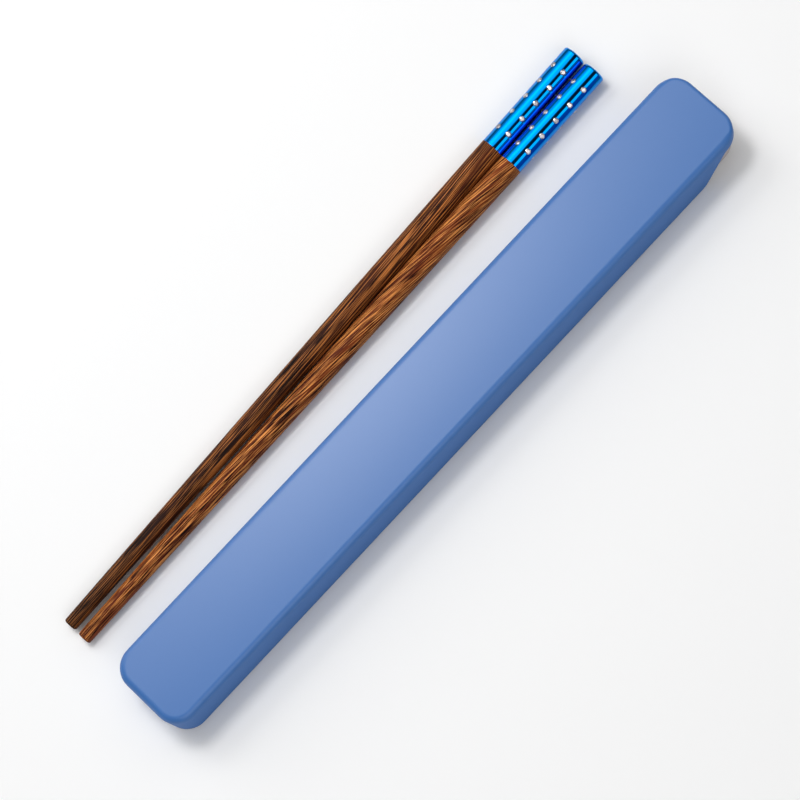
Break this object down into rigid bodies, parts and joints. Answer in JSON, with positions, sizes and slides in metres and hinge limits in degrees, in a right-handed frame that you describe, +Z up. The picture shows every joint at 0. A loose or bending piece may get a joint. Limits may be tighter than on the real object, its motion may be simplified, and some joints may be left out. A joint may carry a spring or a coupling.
{
  "type": "portable chopstick case",
  "caption": "Slim hard case with a trough tray and a one-piece cover that slides off lengthwise, shown with the capped wooden chopsticks that it carries.",
  "frame": {"origin": "middle of the tray's flat underside, on the surface that the case rests on", "axes": "+X along the case towards the cover's open mouth, +Y towards the chopsticks, +Z up"},
  "size_m": [0.2422, 0.0601, 0.0162],
  "materials": {
    "tray_plastic": "moulded warm grey polypropylene",
    "cover_plastic": "moulded satin blue ABS",
    "stick_wood": "turned dark wood, oiled",
    "cap_metal": "polished blue anodised",
    "crystal": "faceted clear crystal with a foil back"
  },
  "bodies": {
    "tray": {"inner_tray": "tray_plastic"},
    "cover": {"slide_cover": "cover_plastic"},
    "far_chopstick": {"far_shaft": "stick_wood", "far_cap": "cap_metal", "far_crystal_1_1": "crystal", "far_crystal_1_2": "crystal", "far_crystal_1_3": "crystal", "far_crystal_1_4": "crystal", "far_crystal_1_5": "crystal", "far_crystal_2_1": "crystal", "far_crystal_2_2": "crystal", "far_crystal_2_3": "crystal", "far_crystal_2_4": "crystal", "far_crystal_2_5": "crystal", "far_crystal_3_1": "crystal", "far_crystal_3_2": "crystal", "far_crystal_3_3": "crystal", "far_crystal_3_4": "crystal", "far_crystal_3_5": "crystal", "far_crystal_4_1": "crystal", "far_crystal_4_2": "crystal", "far_crystal_4_3": "crystal", "far_crystal_4_4": "crystal", "far_crystal_4_5": "crystal", "far_crystal_5_1": "crystal", "far_crystal_5_2": "crystal", "far_crystal_5_3": "crystal", "far_crystal_5_4": "crystal", "far_crystal_5_5": "crystal"},
    "near_chopstick": {"near_shaft": "stick_wood", "near_cap": "cap_metal", "near_crystal_1_1": "crystal", "near_crystal_1_2": "crystal", "near_crystal_1_3": "crystal", "near_crystal_1_4": "crystal", "near_crystal_1_5": "crystal", "near_crystal_2_1": "crystal", "near_crystal_2_2": "crystal", "near_crystal_2_3": "crystal", "near_crystal_2_4": "crystal", "near_crystal_2_5": "crystal", "near_crystal_3_1": "crystal", "near_crystal_3_2": "crystal", "near_crystal_3_3": "crystal", "near_crystal_3_4": "crystal", "near_crystal_3_5": "crystal", "near_crystal_4_1": "crystal", "near_crystal_4_2": "crystal", "near_crystal_4_3": "crystal", "near_crystal_4_4": "crystal", "near_crystal_4_5": "crystal", "near_crystal_5_1": "crystal", "near_crystal_5_2": "crystal", "near_crystal_5_3": "crystal", "near_crystal_5_4": "crystal", "near_crystal_5_5": "crystal"}
  },
  "joints": [
    {"name": "cover_slide", "type": "slide", "parent": "tray", "child": "cover", "axis": [-1, 0, 0], "range_m": [0, 0.245]},
    {"name": "far_chopstick_lift", "type": "slide", "parent": "tray", "child": "far_chopstick", "axis": [0, 0, 1], "range_m": [0, 0.06]},
    {"name": "near_chopstick_lift", "type": "slide", "parent": "tray", "child": "near_chopstick", "axis": [0, 0, 1], "range_m": [0, 0.06]}
  ]
}
